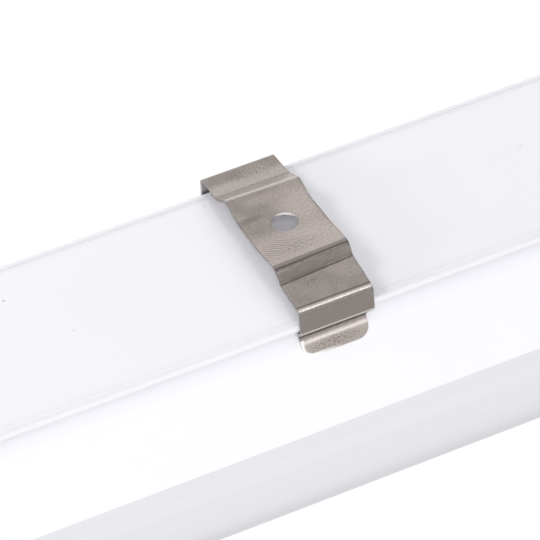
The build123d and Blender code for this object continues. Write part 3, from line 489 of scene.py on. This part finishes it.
def lengthAlong(path, values):
    # s = sum of the path's pieces up to a point, less that sum at the middle of the back
    along = np.concatenate([[0], np.cumsum(np.linalg.norm(np.diff(path, axis=0), axis=1))])
    onBack = np.abs(path[:, 0]) < values["width"]
    return along - np.interp(0.0, path[onBack, 0], along[onBack])


def stripEdges(s, ends, values):
    # half the width and its bulges, then the tab's two edges, its end corners cut back by a quarter circle
    half, corner = values["width"] / 2, values["tabCorner"]
    reach = np.abs(s)
    tail = np.where(s < 0, -ends[0], ends[1])
    blend = np.clip((reach - tail + values["tabLength"]) / values["tabShoulder"], 0, 1)
    leftBulge, rightBulge = (np.interp(s, values["edgeAt"], values[k]) for k in ("leftBulge", "rightBulge"))
    left = -half + (values["tabEdges"][0] + half) * blend - leftBulge
    right = half + (values["tabEdges"][1] - half) * blend + rightBulge
    over = np.clip(reach - (tail - corner), 0, corner)
    cut = corner - np.sqrt(corner**2 - over**2)
    return left + cut, right - cut


def rowsAlong(along, values):
    # even steps from the patch to either end, a row at each bend's points, and closer ones round the corners
    patch, step = values["patch"], values["step"]
    quarter = values["tabCorner"] * (1 - np.cos(np.linspace(0, np.pi / 2, values["cornerSteps"])))
    near = [np.arange(-patch, along[0], -step), along[along < -patch], along[0] + quarter]
    far = [np.arange(patch, along[-1], step), along[along > patch], along[-1] - quarter]
    for places in (near, far):
        rows = np.unique(np.concatenate(places).round(3))
        yield rows[np.concatenate([[True], np.diff(rows) > values["leastStep"]])]


def gridFaces(rows, columns, closed=False):
    # quad (i, j), (i, k), (i + 1, k), (i + 1, j) with k the next column, round to the first if closed
    places = np.arange(rows - 1), np.arange(columns if closed else columns - 1)
    i, j = np.meshgrid(*places, indexing="ij")
    k = (j + 1) % columns
    quads = [i * columns + j, i * columns + k, (i + 1) * columns + k, (i + 1) * columns + j]
    return np.stack(quads, -1).reshape(-1, 4)


def holePatch(ends, across, values):
    # ring = hole * (1 - share) + rim * share; the rim follows the patch's sides and the hole is a circle
    patch = values["patch"]
    sides = np.linspace(-patch, patch, values["patchSteps"])
    level = np.full_like(across, patch)
    (nearLeft, farLeft), (nearRight, farRight) = stripEdges(np.array([-patch, patch]), ends, values)
    nearRow = nearLeft + (nearRight - nearLeft) * (across + 1) / 2
    farRow = farLeft + (farRight - farLeft) * (across + 1) / 2
    rim = np.vstack([
        np.stack([nearRow, -level], 1)[:-1],
        np.stack([stripEdges(sides, ends, values)[1], sides], 1)[:-1],
        np.stack([farRow[::-1], level], 1)[:-1],
        np.stack([stripEdges(-sides, ends, values)[0], -sides], 1)[:-1],
    ])
    hole = values["holeRadius"] * rim / np.linalg.norm(rim, axis=1, keepdims=True)
    share = np.linspace(0, 1, values["rings"])[:, None, None] ** values["ringPower"]
    rings = hole[None] * (1 - share) + rim[None] * share
    return rings.reshape(-1, 2), gridFaces(values["rings"], len(rim), closed=True)[:, ::-1]


def flatStrip(along, values):
    # x = left + (right - left) * (c + 1) / 2 on each row, with c from -1 to 1, and the patch round the hole
    ends = along[0], along[-1]
    across = np.linspace(-1, 1, values["columns"] + 1)
    parts, faces, count = [], [], 0
    for rows in rowsAlong(along, values):
        left, right = stripEdges(rows, ends, values)
        x = left[:, None] + (right - left)[:, None] * (across[None] + 1) / 2
        parts.append(np.stack([x, np.broadcast_to(rows[:, None], x.shape)], -1).reshape(-1, 2))
        faces.append(gridFaces(*x.shape) + count)
        count += x.size
    patchPoints, patchFaces = holePatch(ends, across, values)
    return np.vstack([*parts, patchPoints]), np.vstack([*faces, patchFaces + count])


def askewAt(flat, values):
    # how far the bends lie askew at each point, in a straight line from one edge to the other
    return np.interp(flat[:, 1], values["skewAt"], values["skew"]) * flat[:, 0] / (values["width"] / 2)


def bentStrip(flat, path, along, values):
    # (x, y(s - askew) + askew, z(s - askew) + dents); dent = height * exp(-(dx / reach)^2 - (ds / reach)^2)
    x, s = flat[:, 0], flat[:, 1]
    askew = askewAt(flat, values)
    y = np.interp(s - askew, along, path[:, 0]) + askew
    z = np.interp(s - askew, along, path[:, 1])
    for dentX, dentS, reachX, reachS, height in values["dents"]:
        z = z + height * np.exp(-(((x - dentX) / reachX) ** 2) - ((s - dentS) / reachS) ** 2)
    return x, y, z


def tabRimHighlight(flat, ends, values):
    # the painted highlight, 1 on the near tab's left rim: fade(distance from the rim) * fade(x) * (near the
    # tab's end)
    corner = values["tabCorner"]
    fromX = np.minimum(flat[:, 0] - values["tabEdges"][0] - corner, 0)
    fromS = np.minimum(flat[:, 1] - ends[0] - corner, 0)
    highlight = np.clip((np.hypot(fromX, fromS) - corner + values["highlightReach"]) / values["highlightFade"], 0, 1)
    highlight *= np.clip((values["highlightFrom"] - flat[:, 0]) / values["highlightSide"], 0, 1)
    return highlight * (flat[:, 1] < ends[0] + values["tabLength"] - values["highlightTop"])


def shearedEdge(flat, ends, values):
    # 1 at the strip's two long edges where they are dull, else 0
    left, right = stripEdges(flat[:, 1], ends, values)
    onEdge = np.minimum(flat[:, 0] - left, right - flat[:, 0]) < values["edgeReach"]
    low, high = values["darkEdge"]
    return onEdge * (flat[:, 1] > low) * (flat[:, 1] < high)


def makeClipStrip(node, values):
    # the flat strip is bent, given its sheet thickness inwards, and its sheared edges are rounded
    path = bentPath(values["bends"], values["arcSteps"])
    along = lengthAlong(path, values)
    ends = along[0], along[-1]
    flat, faces = flatStrip(along, values)
    low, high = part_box(node)
    x, y, z = bentStrip(flat, path, along, values)
    points = np.stack([x + (low[0] + high[0]) / 2 / mm, y, z], axis=-1) * mm

    mesh = bpy.data.meshes.new(node + "Strip")
    mesh.from_pydata(points, [], faces.tolist())
    mesh.polygons.foreach_set("use_smooth", np.ones(len(mesh.polygons), bool))
    chart = np.stack([flat[:, 0], flat[:, 1] - askewAt(flat, values)], axis=1)
    corners = np.empty(len(mesh.loops), np.int32)
    mesh.loops.foreach_get("vertex_index", corners)
    mesh.uv_layers.new(name="strip").data.foreach_set("uv", chart[corners].astype(np.float32).ravel())
    # the mask of the painted highlight on the tab's rim, and the sheared edges
    marks = {"rimHighlight": tabRimHighlight(flat, ends, values), "sheared": shearedEdge(flat, ends, values)}
    for name, mark in marks.items():
        mesh.attributes.new(name, "FLOAT", "POINT").data.foreach_set("value", mark.astype(np.float32))
    tool = bmesh.new()
    tool.from_mesh(mesh)
    bmesh.ops.remove_doubles(tool, verts=tool.verts, dist=values["mergeReach"] * mm)
    tool.to_mesh(mesh)
    tool.free()

    strip = bpy.data.objects.new(node + "Strip", mesh)
    bpy.context.scene.collection.objects.link(strip)
    sheet = strip.modifiers.new("sheet", "SOLIDIFY")
    sheet.thickness, sheet.offset = values["sheet"] * mm, -1
    sheet.use_even_offset = True
    sheet.material_offset = 1  # the underside has the second material
    rounding = strip.modifiers.new("shearedEdge", "BEVEL")
    rounding.width, rounding.segments = values["edgeRound"] * mm, values["edgeSegments"]
    rounding.limit_method, rounding.angle_limit = "ANGLE", math.radians(values["edgeAngle"])
    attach(strip, node)
    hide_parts(node)
    return strip


# the clips' outer face: rolled sheet, toned by zones along the strip, with painted highlights, reflections
# and shade; places are x and s in mm, scales per mm
steelSet = {
    "dark": (0.56, 0.495, 0.46), "light": (0.71, 0.628, 0.584),
    "blotchScale": 0.3, "blotchEnds": (0.32, 0.68),
    "stainsAndPaintedLight": [  # x, s, reach of each, colour and share of broad spots: stains, and painted highlights and shade for the dents and for the plate's brighter reflections
        (-6.8, 4.6, 1.5, 0.6, (0.85, 0.78, 0.73), 0.7),
        (-5.2, 3.6, 3.2, 1.0, (0.4, 0.352, 0.325), 0.6),
        (-5.0, -2.5, 3.5, 2.2, (0.45, 0.396, 0.368), 0.5),
        (5.0, 3.0, 6.5, 8.0, (1.0, 0.89, 0.83), 0.9),
        (6.0, -15.5, 5.0, 3.0, (0.85, 0.755, 0.7), 0.5),
        (2.5, 18.6, 5.0, 2.2, (1.0, 0.9, 0.84), 0.6),
        (-1.0, 7.6, 5.0, 1.6, (0.9, 0.8, 0.74), 0.6),
    ],
    "paintedLightBands": [  # s, half reach, softness, colour and share of each band across the strip, mostly at the bends: painted highlights, reflections and shade, with the painted shadow under the crimp
        (-6.5, 2.8, 3.6, (1.0, 0.89, 0.83), 1.0),
        (-10.4, 0.25, 0.35, (0.42, 0.37, 0.345), 0.8),
        (-12.6, 1.0, 0.25, (0.42, 0.372, 0.345), 0.7),
        (-11.2, 0.32, 0.18, (0.2, 0.175, 0.16), 0.95),
        (-13.7, 0.15, 0.45, (0.3, 0.265, 0.245), 0.5),
        (-13.97, 0.15, 0.14, (0.1, 0.088, 0.08), 0.85),
        (-20.8, 0.12, 0.18, (0.27, 0.24, 0.22), 0.85),
        (-24.9, 2.2, 0.4, (0.26, 0.23, 0.214), 0.84),
        (-22.3, 0.2, 0.22, (0.22, 0.195, 0.18), 0.9),
        (-29.95, 0.25, 0.2, (0.3, 0.265, 0.245), 0.9),
        (-29.45, 0.3, 0.12, (0.08, 0.07, 0.065), 0.95),
        (-32.8, 1.2, 0.6, (0.58, 0.515, 0.478), 0.6),
        (21.5, 0.35, 0.45, (0.95, 0.86, 0.81), 0.9),
        (15.6, 1.2, 1.6, (0.96, 0.87, 0.82), 0.95),
        (13.9, 0.3, 0.4, (0.6, 0.54, 0.5), 0.8),
        (10.2, 0.35, 0.35, (1.0, 0.92, 0.88), 1.0),
    ],
    "grain": (0.33, 0.292, 0.27), "grainScale": 2.0, "grainEnds": (0.36, 0.68), "grainShare": 0.42,
    "paintedHighlights": [  # painted highlights at the bends, laid after the grain, in the same order as the bands
        (-21.52, 0.18, 0.32, (1.0, 0.97, 0.94), 0.8),
        (-26.95, 0.06, 0.07, (1.0, 0.98, 0.96), 0.95),
        (-30.95, 0.06, 0.4, (0.95, 0.89, 0.85), 0.75),
        (10.2, 0.2, 0.3, (1.0, 0.93, 0.89), 0.8),
    ],
    "speck": (0.16, 0.14, 0.125), "speckScale": 3.2, "speckEnds": (0.57, 0.62), "speckShare": 0.85,
    "speckSpots": [  # x, s and reach of each
        (0.8, -7.2, 4.5, 2.2), (2.0, 18.2, 6.5, 2.6), (-2.0, -16.0, 2.6, 1.2), (-0.5, -32.4, 6.5, 1.7),
    ],
    "mottle": (0.2, 0.175, 0.16), "mottleScale": 3.2, "mottleEnds": (0.44, 0.56),
    "mottleSpots": [  # x, s, reach of each and share
        (-0.5, -32.6, 7.0, 1.9, 0.55), (1.5, 18.6, 8.0, 2.2, 0.3), (0.0, -24.9, 12.0, 3.4, 0.16),
    ],
    "arcCentre": (-9.0, -12.5), "arcScale": 0.5, "arcWander": 2.2, "arcEnds": (0.35, 0.9),
    "arcSpots": [(-4.0, -6.2, 6.5, 4.0, 0.55), (1.5, -12.7, 8.0, 1.9, 0.2)],  # as mottleSpots
    "cutEdge": (0.26, 0.235, 0.22), "cutEnds": (0.8, 1.0), "cutShare": 0.85,  # the dull sheared edges
    # painted highlight on the rims: its colour, and the metallic it drops to
    "rimHighlight": (0.97, 0.95, 0.93), "highlightMetal": 0.25,
    "holeRim": (2.7, 2.62),  # distances from the hole's centre between which the painted highlight on its rim starts
    "rimSpots": [(1.0, 2.5, 2.2, 2.2, 1.0), (-0.3, -2.6, 2.4, 2.4, 0.6)],  # and where that highlight lies
    "rough": (0.27, 0.42), "roughScale": 1.3, "relief": 0.2, "reliefDepth": 0.00006, "reliefScale": 3.0,
    "spotCore": 0.35,  # share of its reach within which a spot is full
}


def spotMask(tree, strip, spot, values):
    # share * fade(length((position - place) / reach)), full inside the core and gone at 1
    x, s, reachX, reachS, share = spot
    place = addNode(tree, "ShaderNodeMapping", vector_type="TEXTURE")
    place.inputs["Location"].default_value = (x, s, 0)
    place.inputs["Scale"].default_value = (reachX, reachS, 1)
    tree.links.new(strip, place.inputs["Vector"])
    return stretched(tree, lengthOf(tree, place.outputs[0]), (1.0, values["spotCore"]), (0, share))


def anySpot(tree, strip, spots, values):
    # the greatest of the spots' masks
    field = spotMask(tree, strip, spots[0], values)
    for spot in spots[1:]:
        field = joined(tree, field, spotMask(tree, strip, spot, values), "MAXIMUM")
    return field


def spotted(tree, strip, pattern, spots, colour, paint, values):
    # the paint lies where the pattern is, and only within the spots
    for spot in spots:
        share = joined(tree, pattern, spotMask(tree, strip, spot, values), "MULTIPLY")
        colour = mixedColour(tree, share, colour, paint)
    return colour


def banded(tree, s, paintedLightBands, colour):
    # share * fade(|s - place|), full within half and gone a softness further
    for place, half, soft, paint, share in paintedLightBands:
        away = joined(tree, joined(tree, s, -place, "ADD"), None, "ABSOLUTE")
        colour = mixedColour(tree, stretched(tree, away, (half + soft, half), (0, share)), colour, paint)
    return colour


def arcScratches(tree, strip, values):
    # waves of the distance from a centre off the strip's left edge
    centred = addNode(tree, "ShaderNodeMapping")
    centred.inputs["Location"].default_value = (-values["arcCentre"][0], -values["arcCentre"][1], 0)
    tree.links.new(strip, centred.inputs["Vector"])
    rings = addNode(tree, "ShaderNodeTexWave", wave_type="RINGS", rings_direction="SPHERICAL")
    rings.inputs["Scale"].default_value = values["arcScale"]
    rings.inputs["Distortion"].default_value = values["arcWander"]
    rings.inputs["Detail"].default_value = 2
    tree.links.new(centred.outputs[0], rings.inputs["Vector"])
    return stretched(tree, rings.outputs["Fac"], values["arcEnds"])


def paintedRimHighlights(tree, strip, values):
    # painted highlights: the tab's rim mark, or the hole's rim where the rimSpots lie
    rim = stretched(tree, lengthOf(tree, strip), values["holeRim"])
    rim = joined(tree, rim, anySpot(tree, strip, values["rimSpots"], values), "MULTIPLY")
    mark = addNode(tree, "ShaderNodeAttribute", attribute_name="rimHighlight").outputs["Fac"]
    return joined(tree, mark, rim, "MAXIMUM")


def makeSteelFinish(name, values):
    # blotches, then stains with painted light, painted light bands, grain, painted highlights, specks,
    # mottle, arcs, sheared edges and painted highlights on the rims
    material, tree, shader = newMaterial(name)
    strip = addNode(tree, "ShaderNodeUVMap", uv_map="strip").outputs[0]
    s = splitOf(tree, strip)["Y"]
    blotch = noiseOf(tree, strip, values["blotchScale"], detail=5, roughness=0.6)
    colour = mixedColour(tree, stretched(tree, blotch, values["blotchEnds"]), values["dark"], values["light"])
    for *spot, paint, share in values["stainsAndPaintedLight"]:
        colour = mixedColour(tree, spotMask(tree, strip, (*spot, share), values), colour, paint)
    # painted highlight, reflection and shade bands along the strip
    colour = banded(tree, s, values["paintedLightBands"], colour)
    grain = noiseOf(tree, strip, values["grainScale"], detail=3, roughness=0.7)
    grain = stretched(tree, grain, values["grainEnds"], (0, values["grainShare"]))
    colour = mixedColour(tree, grain, colour, values["grain"])
    # painted highlights at the bends
    colour = banded(tree, s, values["paintedHighlights"], colour)
    specks = noiseOf(tree, strip, values["speckScale"], detail=2)
    specks = stretched(tree, specks, values["speckEnds"], (0, values["speckShare"]))
    speckSpots = [(*spot, 1) for spot in values["speckSpots"]]
    specks = joined(tree, specks, anySpot(tree, strip, speckSpots, values), "MULTIPLY")
    colour = mixedColour(tree, specks, colour, values["speck"])
    mottle = stretched(tree, noiseOf(tree, strip, values["mottleScale"], roughness=0.8), values["mottleEnds"])
    colour = spotted(tree, strip, mottle, values["mottleSpots"], colour, values["mottle"], values)
    arcs = arcScratches(tree, strip, values)
    colour = spotted(tree, strip, arcs, values["arcSpots"], colour, values["grain"], values)
    cut = addNode(tree, "ShaderNodeAttribute", attribute_name="sheared").outputs["Fac"]
    cut = stretched(tree, cut, values["cutEnds"], (0, values["cutShare"]))
    colour = mixedColour(tree, cut, colour, values["cutEdge"])
    # painted highlights on the tab's rim and the hole's rim
    bright = paintedRimHighlights(tree, strip, values)
    tree.links.new(mixedColour(tree, bright, colour, values["rimHighlight"]), shader.inputs["Base Color"])
    tree.links.new(stretched(tree, bright, (0, 1), (1.0, values["highlightMetal"])), shader.inputs["Metallic"])
    wear = noiseOf(tree, strip, values["roughScale"])
    tree.links.new(stretched(tree, wear, noiseSpread, values["rough"]), shader.inputs["Roughness"])
    fine = noiseOf(tree, strip, values["reliefScale"], detail=5, roughness=0.7)
    tree.links.new(bumped(tree, fine, values["relief"], values["reliefDepth"]), shader.inputs["Normal"])
    return material


steel = makeSteelFinish("springSteelSheet", steelSet)
for node in ("clip_left", "clip_right"):
    strip = makeClipStrip(node, clipSet)
    for sideFinish in (steel, finishes["spring_steel"]):
        strip.data.materials.append(sideFinish)
print("clips bent")

slotOf = {row["node"]: row["material_slot"] for row in frame["record"]["subparts"]}
for node, part in frame["nodes"].items():
    for holder in part.material_slots:
        holder.material = finishes[slotOf[node]]
print("finishes on", len(slotOf), "nodes")
